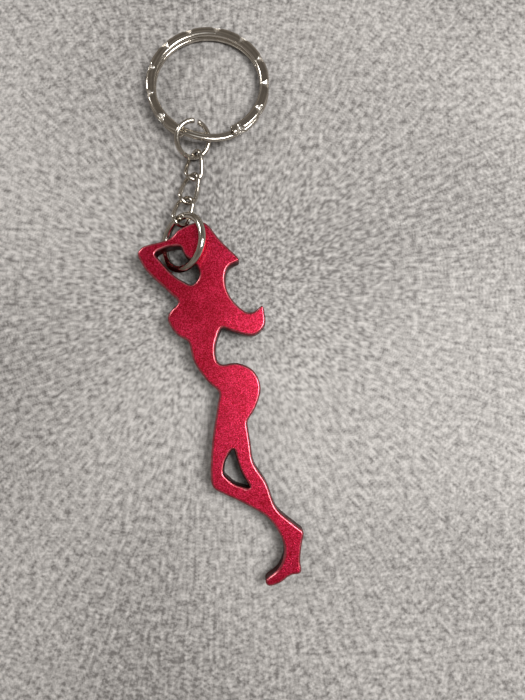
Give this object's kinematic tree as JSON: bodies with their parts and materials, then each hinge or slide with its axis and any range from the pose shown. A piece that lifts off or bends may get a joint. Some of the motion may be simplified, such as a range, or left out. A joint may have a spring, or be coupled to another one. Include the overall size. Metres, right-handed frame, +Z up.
{
  "type": "keychain bottle opener",
  "caption": "Flat figure-shaped bottle opener with a hooked cap mouth, hung by a jump ring and a short twisted chain from a split key ring.",
  "frame": {"origin": "centre of the keychain's outline as it lies, on the surface below it", "axes": "+Z up from the surface, +Y from the figure's foot towards the key ring, +X towards the side of the cap mouth"},
  "size_m": [0.032, 0.1112, 0.0082],
  "materials": {
    "red_anodised_aluminium": "satin red anodising with a fine grain",
    "nickel_plated_steel": "bright nickel plating, lightly scratched"
  },
  "bodies": {
    "opener_plate": {"opener_plate": "red_anodised_aluminium"},
    "arm_jump_ring": {"arm_jump_ring": "nickel_plated_steel"},
    "chain_link_1": {"chain_link_1": "nickel_plated_steel"},
    "chain_link_2": {"chain_link_2": "nickel_plated_steel"},
    "chain_link_3": {"chain_link_3": "nickel_plated_steel"},
    "small_jump_ring": {"small_jump_ring": "nickel_plated_steel"},
    "split_key_ring": {"split_key_ring": "nickel_plated_steel"}
  },
  "joints": [
    {"name": "arm_ring_swivel", "type": "hinge", "parent": "opener_plate", "child": "arm_jump_ring", "pos_m": [-0.00735, 0.00976, 0.00409], "axis": [-0.1794, 0.9646, -0.1934], "range_deg": [-65, 2]},
    {"name": "link_1_swing", "type": "hinge", "parent": "arm_jump_ring", "child": "chain_link_1", "pos_m": [-0.00831, 0.0149, 0.00306], "axis": [0.7514, 0.2612, 0.606], "range_deg": [-60, 60]},
    {"name": "link_2_swing", "type": "hinge", "parent": "chain_link_1", "child": "chain_link_2", "pos_m": [-0.00683, 0.01943, 0.00207], "axis": [-0.826, 0.0937, -0.5558], "range_deg": [-20, 20]},
    {"name": "link_3_swing", "type": "hinge", "parent": "chain_link_2", "child": "chain_link_3", "pos_m": [-0.00558, 0.02438, 0.00194], "axis": [0.6628, -0.1346, 0.7366], "range_deg": [-50, 25]},
    {"name": "small_ring_swing", "type": "hinge", "parent": "chain_link_3", "child": "small_jump_ring", "pos_m": [-0.00537, 0.02943, 0.00125], "axis": [-0.5846, -0.0656, -0.8087], "range_deg": [-35, 60]},
    {"name": "key_ring_flip", "type": "hinge", "parent": "small_jump_ring", "child": "split_key_ring", "pos_m": [-0.00584, 0.03194, 0.00358], "axis": [0.9673, -0.2538, 0], "range_deg": [-70, 20]}
  ]
}
